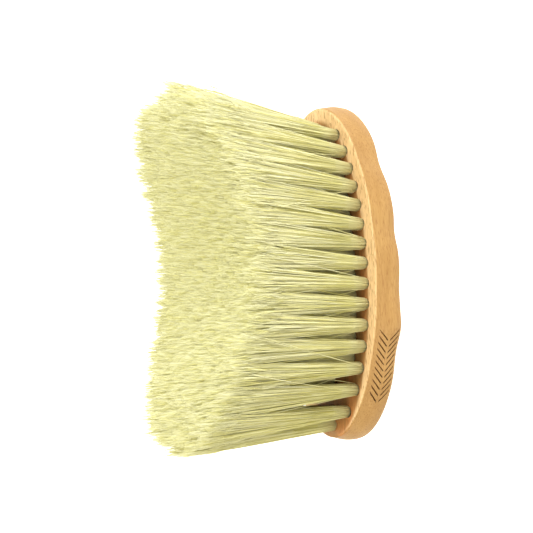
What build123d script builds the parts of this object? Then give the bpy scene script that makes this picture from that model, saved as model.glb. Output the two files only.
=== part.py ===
from build123d import *
from math import cos, exp, hypot, pi
import os

# A hand-held neck duster: an oval wooden block without a handle, with bristle
# tufts set in blind holes and held by flat wire anchors.
# The block lies on its flat back: +Z is the bristle direction, +X runs along the
# length and the engraved long side faces -Y. The origin is the middle of the back.
# Lengths are in millimetres.

# Block
block_length = 191.0
block_width = 80.6               # at its widest, a little above the back
block_thickness = 18.0           # at the middle of the length
face_rise = 2.4                  # how much higher the tuft face is at the two ends
outline_power = 2.03             # superellipse power of the oval, seen from above
outline_points = 96              # points on each closed section of the side
lip_radius = 1.6                 # rounding where the side meets the tuft face
lip_skew = 0.045                 # the lip is this share wider at +X, narrower at -X

# Side of the block from the back to the lip: share of the local thickness, inset
# from the full oval, and share of the finger dips that this level still has.
side_profile = [
    (0.00, 2.20, 1.00),
    (0.05, 0.90, 1.00),
    (0.13, 0.25, 1.00),
    (0.26, 0.00, 1.00),
    (0.42, 0.10, 0.90),
    (0.58, 0.55, 0.70),
    (0.74, 1.30, 0.45),
    (0.88, 1.95, 0.20),
    (1.00, 2.20, 0.00),
    (1.15, 2.20, 0.00),
]

# Finger dips along both long sides: X of the middle, depth and spread. The last one
# is a low shoulder, so its depth is negative.
finger_dips = [
    (58.0, 2.3, 10.5),
    (18.0, 1.5, 8.0),
    (-13.0, 0.8, 8.0),
    (-50.0, 1.0, 9.0),
    (-34.0, -1.2, 7.0),
]

# Engraved chevrons on the -Y side
chevron_count = 11
chevron_pitch = 3.3
chevron_start = -35.5            # X of the first chevron's open end
chevron_reach = 5.6              # how far an arm runs along X, and across in Z
chevron_gap = 1.4                # between the two arms at the point
groove_width = 0.6
groove_depth = 0.35              # where the groove is shallowest
groove_reach = 3.0               # how far the cutter runs out of the side

# Tufts: places are counted in steps from the middle of the length. Rows 3 and 1
# have tufts at whole steps, and rows 2 and 0 halfway between them.
tuft_pitch = 11.03
pitch_growth = 0.067             # each step towards -X is wider by twice this
field_shift = 1.4                # of the whole tuft field towards +X
outer_row_inset = 11.5           # from the oval to the outer row, at the middle
end_inset = 9.5                  # from the oval to where the outer rows would meet
outer_row = 3
tufts_in_row = {0: 12, 1: 15, 2: 10, 3: 15}
end_tuft_step = 7.6              # one more tuft at each end of the middle row
hole_diameter = 6.4
hole_depth = 11.5
tuft_diameter = 6.2              # packed in the hole
tip_height = 104.5               # of the trimmed tips above the back, at the middle
tip_rise = 52.0                  # square term of the sweep up to the two ends
tip_rounding = 32.0              # fourth-power term that levels it off again
tip_spread_along = 1.03          # tip place over base place, along the length
tip_row_reach = 34.7             # from the long axis to the outer row's tips
tip_end_reach = 95.0             # where the outer rows' tips would meet
tip_power = 2.6                  # superellipse power of the rows at the tips
flare_height = 45.0              # above the tuft face, where a tuft has spread
flare_share = 0.7                # of its whole spread, reached at that height
tuft_clearance = 0.4             # left between neighbouring tufts
widest_tip_radius = 5.6

# Flat wire anchors, one through the fold of each tuft
anchor_length = 7.2              # its two ends bite into the wood
anchor_thickness = 0.5
anchor_height = 1.6
anchor_lift = 0.9                # folded bristle under the anchor

half_length = block_length / 2
half_width = block_width / 2
hole_radius = hole_diameter / 2
tuft_radius = tuft_diameter / 2


def face_height(x):
    return block_thickness + face_rise * (x / half_length) ** 2


def finger_dip(x):
    """How deep the finger dips are at this X."""
    return sum(depth * exp(-(((x - place) / spread) ** 2)) for place, depth, spread in finger_dips)


def side_y(x, inset, dip_share):
    """How far the side stands from the long axis at this X."""
    share = min(1, abs(x) / (half_length - inset))
    oval = (half_width - inset) * (1 - share ** outline_power) ** (1 / outline_power)
    skew = 1 + lip_skew * (1 - dip_share) * x / half_length
    return oval * skew - dip_share * finger_dip(x)


def section(share, inset, dip_share):
    """Closed curve around the block's side at one share of the local thickness."""
    points = []
    for step in range(outline_points):
        angle = 2 * pi * (step + 0.5) / outline_points
        x = (half_length - inset) * cos(angle)
        y = side_y(x, inset, dip_share) * (1 if angle < pi else -1)
        above = share > 1
        level = block_thickness + face_rise if above else face_height(x)
        points.append(Vector(x, y, share * level))
    return Wire([Edge.make_spline(points, periodic=True)])


def side_body():
    """The block's outer form, from the flat back to above the tuft face."""
    return Solid.make_loft([section(share, inset, dips) for share, inset, dips in side_profile])


def above_face():
    """Everything above the tuft face, which is a very shallow arc along the length."""
    radius = half_length ** 2 / (2 * face_rise)
    roller = Cylinder(radius, 2 * block_width)
    return Pos(0, 0, block_thickness + radius) * Rot(90, 0, 0) * roller


def profile_at(share):
    """Inset and share of the finger dips between the levels of the side profile."""
    for low, high in zip(side_profile, side_profile[1:]):
        if low[0] <= share <= high[0]:
            part = (share - low[0]) / (high[0] - low[0])
            return [low[k] + part * (high[k] - low[k]) for k in (1, 2)]


def chevron_groove(x, side):
    """One straight groove: side is 1 for the arm near the lip, -1 near the back."""
    thickness = face_height(x)
    middle = thickness / 2 + side * (chevron_gap + chevron_reach) / 2
    ends = [middle - chevron_reach / 2, middle, middle + chevron_reach / 2]
    inset = max(profile_at(z / thickness)[0] for z in ends) + groove_depth
    dip_share = profile_at(middle / thickness)[1]
    floor_y = -side_y(x, inset, dip_share)
    slope = (-side_y(x + 1, inset, dip_share) + side_y(x - 1, inset, dip_share)) / 2
    slot = SlotOverall(chevron_reach * 2 ** 0.5, groove_width, rotation=45 * side)
    place = Plane(origin=(x, floor_y, middle), x_dir=(1, slope, 0), z_dir=(slope, -1, 0))
    return extrude(place * slot, amount=groove_reach)


def chevron_grooves():
    places = [chevron_start - chevron_reach / 2 - n * chevron_pitch for n in range(chevron_count)]
    return [chevron_groove(x, side) for x in places for side in (1, -1)]


def along(step):
    """X of a place counted in steps from the middle of the length."""
    return tuft_pitch * step - pitch_growth * step ** 2 + field_shift


def across(row, x):
    """Y of a row at this X: the rows follow the oval and meet beyond the ends."""
    share = min(1, abs(x) / (half_length - end_inset))
    edge = (half_width - outer_row_inset) * (1 - share ** outline_power) ** (1 / outline_power)
    return edge * row / outer_row


def tuft_ranks():
    """Row, X and Y of each tuft's hole, grouped by its step along the length."""
    ranks = {-end_tuft_step: [0], end_tuft_step: [0]}
    for row, count in tufts_in_row.items():
        for number in range(count):
            step = number - (count - 1) / 2
            rows = [row] if row == 0 else [row, -row]
            ranks.setdefault(step, []).extend(rows)
    places = []
    for step in sorted(ranks):
        x = along(step)
        places.append([(row, x, across(row, x)) for row in sorted(ranks[step])])
    return places


def tip_place(base):
    """Middle of a tuft's trimmed end: the tufts fan out, most of all near the ends."""
    row, x, _ = base
    x = x * tip_spread_along
    edge = tip_row_reach * (1 - (abs(x) / tip_end_reach) ** tip_power) ** (1 / tip_power)
    share = x / half_length
    z = tip_height + tip_rise * share ** 2 - tip_rounding * share ** 4
    return Vector(x, edge * row / outer_row, z)


def room_around(base, all_bases):
    """Radius that a tuft can have at its tips without touching another tuft."""
    here = tip_place(base)
    others = [tip_place(other) for other in all_bases if other != base]
    nearest = min(hypot(here.X - other.X, here.Y - other.Y) for other in others)
    return max(tuft_radius, min(widest_tip_radius, (nearest - tuft_clearance) / 2))


def tuft_frame(base):
    """Plane on the tuft face with Z along the tuft: the holes lean outwards with it."""
    _, x, y = base
    mouth = Vector(x, y, face_height(x))
    return Plane(origin=mouth, x_dir=(1, 0, 0), z_dir=tip_place(base) - mouth)


def hole(base):
    depth = hole_depth + 2 * lip_radius
    middle = depth / 2 - hole_depth
    return tuft_frame(base) * Pos(0, 0, middle) * Cylinder(hole_radius, depth)


def anchor(base):
    """Flat wire across the hole, just above its floor."""
    middle = anchor_lift + anchor_height / 2 - hole_depth
    wire = Box(anchor_thickness, anchor_length, anchor_height)
    return tuft_frame(base) * Pos(0, 0, middle) * wire


def tuft(base, tip_radius):
    """One bundle of bristles: packed in its hole, then spreading up to the tips."""
    frame = tuft_frame(base)
    length = (tip_place(base) - frame.origin).length
    flare_radius = tuft_radius + flare_share * (tip_radius - tuft_radius)
    outline = [
        (0, -hole_depth),
        (tuft_radius, -hole_depth),
        (tuft_radius, 0),
        (flare_radius, flare_height),
        (tip_radius, length),
        (0, length),
    ]
    half_section = Plane.XZ * make_face(Polyline(outline, close=True))
    return frame * revolve(half_section, Axis.Z) - anchor(base)


def block(bases, anchors):
    body = side_body() - above_face()
    lip = body.edges().filter_by(lambda edge: edge.bounding_box().min.Z > block_thickness - 0.1)
    body = fillet(lip, lip_radius)
    body = body - chevron_grooves()
    body = body - [hole(base) for base in bases]
    return body - anchors


def save(shape, name):
    export_step(shape, f"parts/{name}.step")


os.makedirs("parts", exist_ok=True)
ranks = tuft_ranks()
bases = [base for rank in ranks for base in rank]
anchors = [anchor(base) for base in bases]

save(block(bases, anchors), "wooden_block")
save(Compound(children=anchors), "tuft_anchors")
for number, rank in enumerate(ranks, start=1):
    tufts = [tuft(base, room_around(base, bases)) for base in rank]
    save(Compound(children=tufts), f"tuft_rank_{number:02d}")
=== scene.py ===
import math

import bmesh
import bpy
import numpy as np
from mathutils import Matrix, Vector


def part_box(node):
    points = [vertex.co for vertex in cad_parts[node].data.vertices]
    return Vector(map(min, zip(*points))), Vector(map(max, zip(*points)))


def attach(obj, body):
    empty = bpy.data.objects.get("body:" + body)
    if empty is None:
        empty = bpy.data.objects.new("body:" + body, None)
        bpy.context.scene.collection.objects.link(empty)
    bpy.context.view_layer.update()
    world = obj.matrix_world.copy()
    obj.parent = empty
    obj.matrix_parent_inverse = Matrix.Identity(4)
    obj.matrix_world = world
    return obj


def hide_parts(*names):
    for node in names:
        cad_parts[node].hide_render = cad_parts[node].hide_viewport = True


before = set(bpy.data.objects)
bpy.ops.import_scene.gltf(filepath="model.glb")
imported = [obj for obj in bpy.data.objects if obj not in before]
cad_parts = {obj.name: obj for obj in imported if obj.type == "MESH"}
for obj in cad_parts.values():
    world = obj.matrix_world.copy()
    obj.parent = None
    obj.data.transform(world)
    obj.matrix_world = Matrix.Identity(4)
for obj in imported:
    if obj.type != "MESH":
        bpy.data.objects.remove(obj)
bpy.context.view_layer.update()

# A wooden neck duster lying on its flat back: +Z is the bristle direction, +X runs
# along the length and the engraved long side faces -Y. Lengths are in metres, unless a
# comment says millimetres.

MM = 0.001
BLOCK_THICKNESS = 18.0           # millimetres, at the middle of the length
block_low, block_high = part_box("wooden_block")
half_length = (block_high.x - block_low.x) / 2
rank_names = sorted(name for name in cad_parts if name.startswith("tuft_rank_"))


# ---------------------------------------------------------------- camera and light

CAMERA_DISTANCE = 609.5 * MM
CAMERA_RISE = math.radians(41.78)        # how steeply the camera looks down
CAMERA_LEAN = math.radians(5.42)         # how far it looks towards +X
CAMERA_ROLL = math.radians(-2.73)
FACE_MIDDLE = Vector((0, 0, BLOCK_THICKNESS * MM))
AIM_LEFT = 34.1 * MM                     # of the picture's middle from the face's middle
AIM_UP = 2.5 * MM
SENSOR_WIDTH = 36.0
FOCAL_LENGTH = 72.78

# Round lights: direction from the brush, distance, width, watts and colour
LIGHTS = {
    "key_light": ((0.60, -0.45, 0.66), 1.1, 0.4, 4.5, (0.94, 1.0, 1.0)),
    "end_light": ((0.86, -0.50, 0.12), 1.1, 0.4, 6.6, (1.0, 1.0, 1.0)),
    "side_light": ((-0.35, -0.92, 0.18), 1.3, 0.9, 6.5, (0.98, 1.0, 1.0)),
    "back_light": ((-0.15, 0.60, 0.77), 1.3, 1.0, 6.5, (0.98, 1.0, 1.0)),
    "top_light": ((-0.50, -0.10, 0.86), 1.3, 1.0, 3.8, (1.0, 1.0, 1.0)),
}
LIGHT_AIM = Vector((0, 0, 60 * MM))      # about the middle of the brush
AMBIENT_COLOUR = (1.0, 0.91, 0.57)
AMBIENT_STRENGTH = 0.8
LIGHT_BOUNCES = 10                       # enough to light the gaps between bristles
FLOOR_REACH = 4.0
FLOOR_DROP = 0.2 * MM                    # keeps the floor clear of the flat back
FLOOR_GREY = (0.9, 0.9, 0.9)


def camera_axes(rise, lean, roll):
    """Right, up and forward of a camera that looks at the -Y side from above, with the
    brush's +X upwards in its picture."""
    forward = Vector((0, math.cos(rise), -math.sin(rise)))
    right = Vector((0, -math.sin(rise), -math.cos(rise)))
    up = Vector((1, 0, 0))
    leaned = forward * math.cos(lean) + up * math.sin(lean)
    up = up * math.cos(lean) - forward * math.sin(lean)
    rolled = right * math.cos(roll) + up * math.sin(roll)
    up = up * math.cos(roll) - right * math.sin(roll)
    return rolled, up, leaned


def add_camera():
    right, up, forward = camera_axes(CAMERA_RISE, CAMERA_LEAN, CAMERA_ROLL)
    target = FACE_MIDDLE - right * AIM_LEFT + up * AIM_UP
    data = bpy.data.cameras.new("view_camera")
    data.sensor_width = SENSOR_WIDTH
    data.lens = FOCAL_LENGTH
    data.clip_start = 0.05
    camera = bpy.data.objects.new("view_camera", data)
    place = Matrix((right, up, -forward)).transposed().to_4x4()
    place.translation = target - forward * CAMERA_DISTANCE
    camera.matrix_world = place
    bpy.context.scene.collection.objects.link(camera)
    bpy.context.scene.camera = camera


def add_area_light(name, direction, distance, size, power, colour):
    data = bpy.data.lights.new(name, "AREA")
    data.shape = "DISK"
    data.size = size
    data.energy = power
    data.color = colour
    light = bpy.data.objects.new(name, data)
    towards = Vector(direction).normalized()
    light.location = towards * distance + LIGHT_AIM
    light.rotation_euler = towards.to_track_quat("Z", "Y").to_euler()
    bpy.context.scene.collection.objects.link(light)


def add_world():
    """Warm light from all round; the camera itself sees plain white."""
    world = bpy.data.worlds.new("studio")
    world.use_nodes = True
    tree = world.node_tree
    ambient = tree.nodes["Background"]
    ambient.inputs["Color"].default_value = (*AMBIENT_COLOUR, 1)
    ambient.inputs["Strength"].default_value = AMBIENT_STRENGTH
    plain = tree.nodes.new("ShaderNodeBackground")
    plain.inputs["Color"].default_value = (1, 1, 1, 1)
    rays = tree.nodes.new("ShaderNodeLightPath")
    mixed = tree.nodes.new("ShaderNodeMixShader")
    tree.links.new(rays.outputs["Is Camera Ray"], mixed.inputs[0])
    tree.links.new(ambient.outputs[0], mixed.inputs[1])
    tree.links.new(plain.outputs[0], mixed.inputs[2])
    tree.links.new(mixed.outputs[0], tree.nodes["World Output"].inputs["Surface"])
    bpy.context.scene.world = world


def add_studio():
    for name, settings in LIGHTS.items():
        add_area_light(name, *settings)
    add_world()
    bpy.context.scene.view_settings.view_transform = "Standard"
    bpy.context.scene.view_settings.look = "None"
    bpy.context.scene.cycles.diffuse_bounces = LIGHT_BOUNCES


def add_floor():
    """A white floor that throws no diffuse light back at the brush."""
    mesh = bpy.data.meshes.new("floor")
    corners = [(x * FLOOR_REACH, y * FLOOR_REACH, 0) for x, y in ((-1, -1), (1, -1), (1, 1), (-1, 1))]
    mesh.from_pydata(corners, [], [(0, 1, 2, 3)])
    floor = bpy.data.objects.new("floor", mesh)
    floor.location.z = -FLOOR_DROP
    floor.visible_diffuse = False
    bpy.context.scene.collection.objects.link(floor)
    material = bpy.data.materials.new("white_floor")
    material.use_nodes = True
    shader = material.node_tree.nodes["Principled BSDF"]
    shader.inputs["Base Color"].default_value = (*FLOOR_GREY, 1)
    shader.inputs["Roughness"].default_value = 0.9
    shader.inputs["Emission Color"].default_value = (1, 1, 1, 1)
    shader.inputs["Emission Strength"].default_value = 1.0
    mesh.materials.append(material)


# ---------------------------------------------------------------- node helpers

class Nodes:
    """Small helper that adds nodes to one material and links them."""

    def __init__(self, name):
        self.material = bpy.data.materials.new(name)
        self.material.use_nodes = True
        self.tree = self.material.node_tree
        self.shader = self.tree.nodes["Principled BSDF"]

    def add(self, kind, **settings):
        node = self.tree.nodes.new(kind)
        for key, value in settings.items():
            setattr(node, key, value)
        return node

    def feed(self, socket, value):
        """Links another node's output to a socket, or sets the socket to a value."""
        if isinstance(value, bpy.types.NodeSocket):
            self.tree.links.new(value, socket)
        else:
            socket.default_value = value

    def math(self, operation, first, second=0.0, third=0.0):
        node = self.add("ShaderNodeMath", operation=operation)
        for socket, value in zip(node.inputs, (first, second, third)):
            self.feed(socket, value)
        return node.outputs[0]

    def mix(self, factor, first, second, blend="MIX"):
        node = self.add("ShaderNodeMix", data_type="RGBA", blend_type=blend)
        self.feed(node.inputs["Factor"], factor)
        self.feed(node.inputs[6], first)
        self.feed(node.inputs[7], second)
        return node.outputs[2]

    def place(self, scale):
        """The surface point in the object's own frame, stretched by the scale."""
        coordinates = self.add("ShaderNodeTexCoord")
        mapping = self.add("ShaderNodeMapping")
        mapping.inputs["Scale"].default_value = scale
        self.tree.links.new(coordinates.outputs["Object"], mapping.inputs["Vector"])
        return mapping.outputs[0]

    def split(self, vector):
        node = self.add("ShaderNodeSeparateXYZ")
        self.tree.links.new(vector, node.inputs[0])
        return node.outputs

    def noise(self, vector, scale, detail, roughness=0.5, distortion=0.0):
        node = self.add("ShaderNodeTexNoise")
        self.tree.links.new(vector, node.inputs["Vector"])
        node.inputs["Scale"].default_value = scale
        node.inputs["Detail"].default_value = detail
        node.inputs["Roughness"].default_value = roughness
        node.inputs["Distortion"].default_value = distortion
        return node.outputs["Fac"]

    def smooth_step(self, value, low, high):
        """0 below low and 1 above high (or the other way round, if high is less)."""
        node = self.add("ShaderNodeMapRange", interpolation_type="SMOOTHSTEP")
        self.feed(node.inputs["Value"], value)
        node.inputs["From Min"].default_value = low
        node.inputs["From Max"].default_value = high
        return node.outputs[0]

    def ramp(self, value, low, high, colours):
        """Blends from the first colour at low to the second colour at high."""
        node = self.add("ShaderNodeValToRGB")
        stops = zip(node.color_ramp.elements, (low, high), colours)
        for element, position, colour in stops:
            element.position = position
            element.color = (*colour, 1)
        self.tree.links.new(value, node.inputs["Fac"])
        return node.outputs["Color"]


# ---------------------------------------------------------------- wood

# The chevron grooves and the tuft face, in millimetres
CHEVRON_COUNT = 11
CHEVRON_PITCH = 3.3
CHEVRON_START = -35.5            # X of the first chevron's open end
CHEVRON_REACH = 5.6
CHEVRON_GAP = 1.4                # between the two arms at the point
FACE_RISE = 2.4                  # how much higher the tuft face is at the two ends
FACE_SLACK = 1.0                 # what lies less than this below the face belongs to it
FIELD_HALF_WIDTH = 31.5          # of the tuft field on the face
FIELD_HALF_LENGTH = 91.0
FIELD_MIDDLE = -4.5              # the painted shadow of the tufts reaches further at -X

# Each pair is where a mark has faded out and where it is full
LINE_EDGE = (0.13, 0.05)         # shares of the pitch from a burnt line's middle
ARM_START = (-0.25, 0.05)        # millimetres along an arm
ARM_END = (CHEVRON_REACH + 0.3, CHEVRON_REACH)
FIELD_EDGE = (1.02, 0.93)        # shares of the way from the field's middle, squared
FACE_TURN = (0.60, 1.0)          # Z of the surface normal, from the side's painted shade to the face
LOWER_ARM_WIDENING = 0.9         # how much wider the arms near the back are

# Darkest and palest colour of the grain
FACE_WOOD = ((0.90, 0.61, 0.34), (0.97, 0.70, 0.42))
# The side is the same beech as the face, painted darker: painted shade
SIDE_WOOD_WITH_PAINTED_SHADE = ((0.420, 0.230, 0.074), (0.505, 0.295, 0.106))
# Painted shadow of the tufts on the face, darkest between them and at the -X end
SHADED_WOOD = ((0.30, 0.145, 0.042), (0.56, 0.21, 0.058))
STREAKS = ((0.86, 0.82, 0.76), (1.0, 1.0, 1.0))
PORE_COLOUR = (0.30, 0.13, 0.04)
BURNT_COLOUR = (0.10, 0.038, 0.008)

SHADED_SHARE = 0.90              # how far each layer covers the one under it
STREAK_SHARE = 0.9
PORE_SHARE = 0.55
BURNT_SHARE = 0.85


def burnt_lines(n, x, y, z):
    """1 on the engraved chevrons of the -Y side: the arms are straight lines at 45
    degrees, so they are level lines of (distance from the middle - x)."""
    squared = n.math("POWER", n.math("DIVIDE", x, half_length / MM), 2.0)
    middle = n.math("MULTIPLY_ADD", squared, FACE_RISE / 2, BLOCK_THICKNESS / 2)
    off_middle = n.math("ABSOLUTE", n.math("SUBTRACT", z, middle))
    arm = n.math("SUBTRACT", off_middle, CHEVRON_GAP / 2)
    first = CHEVRON_START - CHEVRON_REACH
    count = n.math("DIVIDE", n.math("ADD", n.math("SUBTRACT", arm, x), first), CHEVRON_PITCH)
    offset = n.math("ABSOLUTE", n.math("SUBTRACT", count, n.math("ROUND", count)))
    near_back = n.math("LESS_THAN", z, middle)
    widening = n.math("MULTIPLY_ADD", near_back, LOWER_ARM_WIDENING, 1.0)
    line = n.smooth_step(n.math("DIVIDE", offset, widening), *LINE_EDGE)
    line = n.math("MULTIPLY", line, n.smooth_step(arm, *ARM_START))
    line = n.math("MULTIPLY", line, n.smooth_step(arm, *ARM_END))
    line = n.math("MULTIPLY", line, n.math("GREATER_THAN", count, -0.5))
    line = n.math("MULTIPLY", line, n.math("LESS_THAN", count, CHEVRON_COUNT - 0.5))
    return n.math("MULTIPLY", line, n.math("LESS_THAN", y, 0.0))


def painted_tuft_shade(n, x, y, z):
    """1 on the part of the tuft face that the tufts stand in, where their shadow is painted."""
    along = n.math("DIVIDE", n.math("SUBTRACT", x, FIELD_MIDDLE), FIELD_HALF_LENGTH)
    along = n.math("POWER", along, 2.0)
    across = n.math("POWER", n.math("DIVIDE", y, FIELD_HALF_WIDTH), 2.0)
    inside = n.smooth_step(n.math("ADD", along, across), *FIELD_EDGE)
    on_face = n.math("GREATER_THAN", z, BLOCK_THICKNESS - FACE_SLACK)
    return n.math("MULTIPLY", inside, on_face)


def bare_wood(n, broad, tuft_shade):
    """Colour of the wood without its fine grain: pale on the face, darker on the side as
    painted shade, and browner where the tufts stand as their painted shadow."""
    face = n.ramp(broad, 0.30, 0.70, FACE_WOOD)
    side = n.ramp(broad, 0.30, 0.70, SIDE_WOOD_WITH_PAINTED_SHADE)
    shaded = n.ramp(broad, 0.40, 0.65, SHADED_WOOD)
    normal = n.add("ShaderNodeTexCoord").outputs["Normal"]
    upward = n.smooth_step(n.split(normal)["Z"], *FACE_TURN)
    # the side's painted shade gives way to the face colour as the surface turns upward
    base = n.mix(upward, side, face)
    # the painted shadow of the tufts covers the face where they stand
    return n.mix(n.math("MULTIPLY", tuft_shade, SHADED_SHARE), base, shaded)


def wood_material():
    """Pale beech: fine grain along X with short dark pores, under a satin coat. The
    engraving is burnt."""
    n = Nodes("pale_beech")
    x, y, z = n.split(n.place((1 / MM, 1 / MM, 1 / MM)))
    broad = n.noise(n.place((1, 9, 9)), scale=14, detail=3, roughness=0.55, distortion=0.3)
    fine = n.noise(n.place((1, 22, 22)), scale=60, detail=3, roughness=0.6)
    pores = n.noise(n.place((1, 8, 8)), scale=240, detail=1, roughness=0.4)
    pore = n.smooth_step(pores, 0.57, 0.64)
    burnt = burnt_lines(n, x, y, z)

    base = bare_wood(n, broad, painted_tuft_shade(n, x, y, z))
    base = n.mix(STREAK_SHARE, base, n.ramp(fine, 0.35, 0.65, STREAKS), blend="MULTIPLY")
    base = n.mix(n.math("MULTIPLY", pore, PORE_SHARE), base, (*PORE_COLOUR, 1))
    base = n.mix(n.math("MULTIPLY", burnt, BURNT_SHARE), base, (*BURNT_COLOUR, 1))
    n.feed(n.shader.inputs["Base Color"], base)

    worn = n.math("MULTIPLY_ADD", fine, 0.20, 0.44)
    n.feed(n.shader.inputs["Roughness"], n.math("MULTIPLY_ADD", burnt, 0.3, worn))
    bump = n.add("ShaderNodeBump")
    bump.inputs["Strength"].default_value = 0.12
    bump.inputs["Distance"].default_value = 0.3 * MM
    n.feed(bump.inputs["Height"], n.math("SUBTRACT", fine, n.math("MULTIPLY", pore, 0.5)))
    n.feed(n.shader.inputs["Normal"], bump.outputs["Normal"])
    n.shader.inputs["Specular IOR Level"].default_value = 0.35
    n.shader.inputs["Coat Weight"].default_value = 0.05
    n.shader.inputs["Coat Roughness"].default_value = 0.40
    return n.material


# ---------------------------------------------------------------- anchor wire

WIRE_BRASS = ((0.62, 0.46, 0.20), (0.80, 0.64, 0.33))


def wire_material():
    """Drawn brass wire with fine scratches along it."""
    n = Nodes("drawn_wire")
    scratches = n.noise(n.place((40, 1, 40)), scale=60, detail=3)
    n.feed(n.shader.inputs["Base Color"], n.ramp(scratches, 0.3, 0.7, WIRE_BRASS))
    n.shader.inputs["Metallic"].default_value = 1.0
    n.shader.inputs["Roughness"].default_value = 0.35
    return n.material


def dress(node, material):
    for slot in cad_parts[node].material_slots:
        slot.material = material


# ---------------------------------------------------------------- bristles

# Each filament has a shaft shade and a paler tip shade: the tip is partly paler for its split ends
# and partly painted light, and the shaft darker as painted shade
SHAFT_SHADES = {
    "shaft_pale": (0.83, 0.80, 0.47),
    "shaft_straw": (0.80, 0.77, 0.40),
    "shaft_olive": (0.75, 0.71, 0.29),
}
TIP_SHADES_WITH_PAINTED_LIGHT = {
    "tip_cream": (0.92, 0.91, 0.66),
    "tip_pale": (0.90, 0.885, 0.59),
    "tip_straw": (0.88, 0.855, 0.46),
}
SHADE_SHARES = (0.40, 0.40, 0.20)        # of the three shades, pale to dark

SEED = 20
SIDES = 3                                # of every prism
TAPERED_END = 0.75                       # a prism's last ring over the others

# Corners of a CAD tuft: in its hole's floor if lower than this, and in its trimmed end
# if higher than this share of its height
FLOOR_LEVEL = 10 * MM
TRIMMED_SHARE = 0.85

# Filaments
FILAMENTS = 300                          # in one tuft
RINGS = 7                                # points along a filament
TIP_RING = 3                             # where it turns paler with painted light, or one ring either way
THICKNESS = 0.33 * MM
THICKNESS_RANGE = (0.85, 1.15)
START_LIFT = 8 * MM                      # above the hole's floor, still inside the hole
HOLE_FILL = 1.05                         # radius where they start over the CAD tuft's
BEND = 0.22 * MM
SECOND_BEND = 0.4                        # of an S-shaped bend over the single bow

# Splayed tips
DISC_JITTER = 0.035
CLUMPS = 22                              # in one tuft
CLUMP_SPREAD = 0.55
CLUMP_PULL = 0.02                        # of a filament towards its clump
CELL_OVERLAP = 1.1                       # how far a tuft's tips mingle with the next
WIDEST_REACH = 9.5 * MM
TIP_JITTER = 0.6 * MM
STRAY_SHARE = 0.04
STRAY_REACH = 9 * MM

# Trimmed outline: the tips lie on a sweep that rises to both ends and levels off
TIP_HEIGHT = 105.0 * MM                  # above the back, at the middle
TIP_RISE = 52.0 * MM
TIP_ROUNDING = 32.0 * MM
TIP_PROUD = 1.0 * MM                     # of the longest filaments over that sweep
SHORTER = 4.5 * MM                       # how much shorter filaments are on average
SHORTEST = 20 * MM                       # and at most
FIELD_POWER = 2.6
TIP_HALF_LENGTH = 93 * MM                # of the whole field of tips
TIP_HALF_WIDTH = 40 * MM
FIELD_RETURN = 0.8                       # how far a tip outside goes back to the edge
RIM_START = 0.55                         # field level where the ragged rim starts
RIM_WIDTH = 0.35
CLUMP_STEP = 0.1 * MM                    # how unlike in height the clumps are
RIM_STEP = 1.9 * MM                      # and how much more so at the rim

# Fine splits at the end of each filament
FLAGS = 3
FLAG_RINGS = 3
FLAG_THICKNESS = 0.20 * MM
FLAG_SPREAD = np.array([0.5, 0.5, 3.0]) * MM
FLAG_LIMIT = 2.0                         # largest draw, in spreads


def bristle_material(name, colour):
    material = bpy.data.materials.new(name)
    material.use_nodes = True
    shader = material.node_tree.nodes["Principled BSDF"]
    shader.inputs["Base Color"].default_value = (*colour, 1)
    shader.inputs["Roughness"].default_value = 0.65
    shader.inputs["Specular IOR Level"].default_value = 0.12
    return material


def solids_of(node):
    """The corner points of each separate solid in a CAD node."""
    shape = bmesh.new()
    shape.from_mesh(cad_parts[node].data)
    bmesh.ops.remove_doubles(shape, verts=shape.verts, dist=0.001 * MM)
    seen = set()
    solids = []
    for corner in shape.verts:
        if corner in seen:
            continue
        seen.add(corner)
        solid = [corner]
        for member in solid:     # the list grows as its neighbours are found
            for edge in member.link_edges:
                other = edge.other_vert(member)
                if other not in seen:
                    seen.add(other)
                    solid.append(other)
        solids.append(np.array([member.co for member in solid]))
    shape.free()
    return solids


def tuft_ends(points):
    """Centres of a CAD tuft's hole floor and of its trimmed end, and its packed radius."""
    floor = points[points[:, 2] < FLOOR_LEVEL]
    trimmed = points[points[:, 2] > TRIMMED_SHARE * points[:, 2].max()]
    packed = (floor[:, 1].max() - floor[:, 1].min()) / 2
    return (floor.min(0) + floor.max(0)) / 2, (trimmed.min(0) + trimmed.max(0)) / 2, packed


def tip_level(x):
    """Height of the trimmed tips."""
    share = x / half_length
    return TIP_HEIGHT + TIP_RISE * share ** 2 - TIP_ROUNDING * share ** 4


def disc_points(random, count):
    """Points spread evenly over a unit disc, with a little jitter."""
    index = np.arange(count) + 0.5
    radius = np.sqrt(index / count)
    angle = index * math.pi * (3 - math.sqrt(5))
    points = np.stack([radius * np.cos(angle), radius * np.sin(angle)], 1)
    return points + random.normal(0, DISC_JITTER, points.shape)


def spread_over_cell(disc, tip, all_tips):
    """Stretches a unit disc over the room around one tip, halfway to each neighbour."""
    radius = np.linalg.norm(disc, axis=1)
    heading = disc / radius[:, None]
    away = all_tips - tip
    away = away[np.linalg.norm(away, axis=1) > 0]
    facing = np.maximum(heading @ away.T, 1e-6)
    halfway = (away ** 2).sum(1) / 2 / facing
    reach = np.minimum(halfway.min(1), WIDEST_REACH)
    return disc * reach[:, None]


def field_level(points):
    """0 in the middle of the trimmed field and 1 at its edge."""
    along = np.abs(points[:, 0]) / TIP_HALF_LENGTH
    across = np.abs(points[:, 1]) / TIP_HALF_WIDTH
    return along ** FIELD_POWER + across ** FIELD_POWER


def keep_in_field(points):
    """Pulls tips that splay out of the trimmed field back towards its edge."""
    scale = np.maximum(1, field_level(points)) ** (-FIELD_RETURN / FIELD_POWER)
    return points * scale[:, None]


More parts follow.
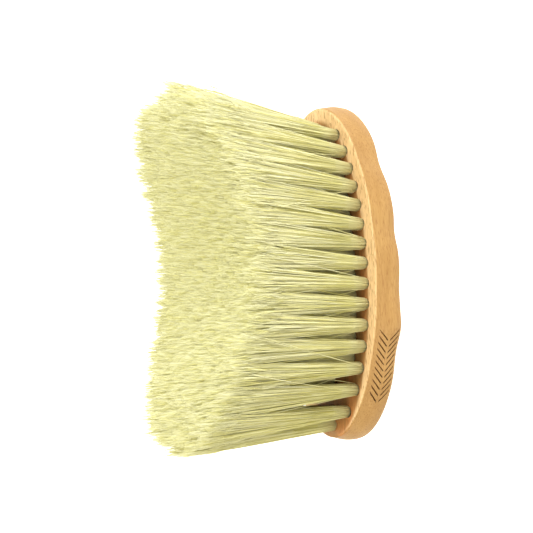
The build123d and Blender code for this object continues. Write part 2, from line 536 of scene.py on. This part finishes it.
def filament_ends(random, disc, tip, all_tips):
    """Free ends of one tuft's filaments: fanned out in clumps, a few of them strays,
    trimmed to the sweep, and more ragged at the rim of the whole field."""
    clumps = random.normal(0, CLUMP_SPREAD, (CLUMPS, 2))
    nearest = np.argmin(((disc[:, None] - clumps[None]) ** 2).sum(2), 1)
    pulled = disc + (clumps[nearest] - disc) * CLUMP_PULL
    end = np.zeros((FILAMENTS, 3))
    end[:, :2] = tip[:2] + spread_over_cell(pulled, tip[:2], all_tips) * CELL_OVERLAP
    end[:, :2] += random.normal(0, TIP_JITTER, (FILAMENTS, 2))
    stray = random.random(FILAMENTS) < STRAY_SHARE
    end[stray, :2] += random.normal(0, STRAY_REACH, (stray.sum(), 2))
    end[:, :2] = keep_in_field(end[:, :2])

    rim = np.clip((field_level(end) - RIM_START) / RIM_WIDTH, 0, 1)
    step = CLUMP_STEP + RIM_STEP * rim
    clump_height = random.normal(0, 1, CLUMPS)[nearest] * step
    short = np.minimum(random.exponential(SHORTER, FILAMENTS), SHORTEST)
    end[:, 2] = tip_level(end[:, 0]) + TIP_PROUD + clump_height - short
    return end


def bent_lines(random, start, end):
    """Slightly bent lines from start to end, as an array of filament, ring, xyz."""
    share = np.linspace(0, 1, RINGS)[None, :, None]
    line = start[:, None] + (end - start)[:, None] * share
    bend = np.zeros((FILAMENTS, 1, 3))
    bend[:, 0, :2] = random.normal(0, BEND, (FILAMENTS, 2))
    bow = np.sin(share * math.pi)
    second = SECOND_BEND * np.sin(share * 2 * math.pi) * random.normal(0, 1, (FILAMENTS, 1, 1))
    return line + bend * (bow + second)


def filament_paths(random, tuft, all_tips):
    """Centre lines of one tuft's filaments, from inside the hole to the tips."""
    hole, tip, packed = tuft
    disc = disc_points(random, FILAMENTS)
    start = np.zeros((FILAMENTS, 3))
    start[:, :2] = hole[:2] + disc * packed * HOLE_FILL
    start[:, 2] = hole[2] + START_LIFT
    return bent_lines(random, start, filament_ends(random, disc, tip, all_tips))


def flag_paths(random, paths):
    """Fine splits that leave each filament near its end and spread around its tip."""
    root = np.repeat(paths[:, -2], FLAGS, axis=0)
    tip = np.repeat(paths[:, -1], FLAGS, axis=0)
    draws = np.clip(random.normal(0, 1, tip.shape), -FLAG_LIMIT, FLAG_LIMIT)
    tip = tip + draws * FLAG_SPREAD
    middle = (root + tip) / 2
    return np.stack([root, middle, tip], axis=1)


def prisms(paths, thickness, shades):
    """Slender closed prisms around paths: corners, four-sided walls, three-sided ends
    and the shade of each wall and end. The shades are one number for each span."""
    count, rings = paths.shape[:2]
    angle = np.arange(SIDES) * 2 * math.pi / SIDES
    ring = np.stack([np.cos(angle), np.sin(angle), np.zeros(SIDES)], 1)
    taper = np.ones(rings)
    taper[-1] = TAPERED_END
    radius = thickness[:, None, None, None] / 2 * taper[None, :, None, None]
    corners = (paths[:, :, None, :] + ring[None, None] * radius).reshape(-1, 3)
    first = (np.arange(count) * rings * SIDES)[:, None, None]
    row = (np.arange(rings - 1) * SIDES)[None, :, None]
    side = np.arange(SIDES)[None, None, :]
    a = first + row + side
    b = first + row + (side + 1) % SIDES
    walls = np.stack([a, b, b + SIDES, a + SIDES], -1).reshape(-1, 4)
    feet = first[:, 0] + np.arange(SIDES)[None, ::-1]
    tips = first[:, 0] + (rings - 1) * SIDES + np.arange(SIDES)[None, :]
    ends = np.concatenate([feet, tips])
    wall_shades = np.repeat(shades, SIDES, axis=1).reshape(-1)
    end_shades = shades[:, [0, -1]].T.reshape(-1)
    return corners, walls, ends, wall_shades, end_shades


def mesh_of(name, prism_sets):
    """One mesh of all the prisms."""
    offsets = np.cumsum([0] + [len(prism_set[0]) for prism_set in prism_sets])
    corners = np.concatenate([prism_set[0] for prism_set in prism_sets])
    walls = np.concatenate([prism_set[1] + start for prism_set, start in zip(prism_sets, offsets)])
    ends = np.concatenate([prism_set[2] + start for prism_set, start in zip(prism_sets, offsets)])
    shades = np.concatenate([prism_set[part] for part in (3, 4) for prism_set in prism_sets])
    sizes = np.concatenate([np.full(len(walls), 4), np.full(len(ends), SIDES)])
    mesh = bpy.data.meshes.new(name)
    mesh.vertices.add(len(corners))
    mesh.vertices.foreach_set("co", corners.reshape(-1))
    mesh.loops.add(walls.size + ends.size)
    loops = np.concatenate([walls.reshape(-1), ends.reshape(-1)])
    mesh.loops.foreach_set("vertex_index", loops.astype(np.int32))
    mesh.polygons.add(len(sizes))
    starts = np.concatenate([[0], np.cumsum(sizes)[:-1]])
    mesh.polygons.foreach_set("loop_start", starts.astype(np.int32))
    mesh.polygons.foreach_set("material_index", shades.astype(np.int32))
    mesh.polygons.foreach_set("use_smooth", sizes == 4)
    mesh.update(calc_edges=True)
    mesh.validate()
    return mesh


def rank_mesh(name, random, tufts, all_tips):
    """The filaments and splits of one rank of tufts. The materials are the shaft shades
    and then the tip shades, and a filament takes the same place in both."""
    paths = np.concatenate([filament_paths(random, tuft, all_tips) for tuft in tufts])
    thickness = THICKNESS * random.uniform(*THICKNESS_RANGE, len(paths))
    shades = random.choice(len(SHAFT_SHADES), len(paths), p=SHADE_SHARES)
    turn = TIP_RING + random.integers(-1, 2, len(paths))
    in_lit_tip = np.arange(RINGS - 1) >= turn[:, None]
    bands = shades[:, None] + in_lit_tip * len(SHAFT_SHADES)
    bands[:, 0] = 0              # the span in and just above the hole is always pale: painted light against the shade at the tuft's foot
    shafts = prisms(paths, thickness, bands)

    flags = flag_paths(random, paths)
    lit_tip_shades = np.repeat(shades, FLAGS) + len(SHAFT_SHADES)
    flag_bands = np.repeat(lit_tip_shades[:, None], FLAG_RINGS - 1, axis=1)
    splits = prisms(flags, np.full(len(flags), FLAG_THICKNESS), flag_bands)
    return mesh_of(name, [shafts, splits])


def add_bristles():
    shades = {**SHAFT_SHADES, **TIP_SHADES_WITH_PAINTED_LIGHT}
    materials = [bristle_material(name, colour) for name, colour in shades.items()]
    ranks = {node: [tuft_ends(points) for points in solids_of(node)] for node in rank_names}
    all_tips = np.array([tuft[1][:2] for tufts in ranks.values() for tuft in tufts])
    for number, (node, tufts) in enumerate(ranks.items()):
        random = np.random.default_rng(SEED + number)
        name = node.replace("tuft_rank", "bristles_rank")
        mesh = rank_mesh(name, random, tufts, all_tips)
        for material in materials:
            mesh.materials.append(material)
        piece = bpy.data.objects.new(name, mesh)
        bpy.context.scene.collection.objects.link(piece)
        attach(piece, "root")
        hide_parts(node)


add_camera()
add_studio()
add_floor()
dress("wooden_block", wood_material())
dress("tuft_anchors", wire_material())
add_bristles()
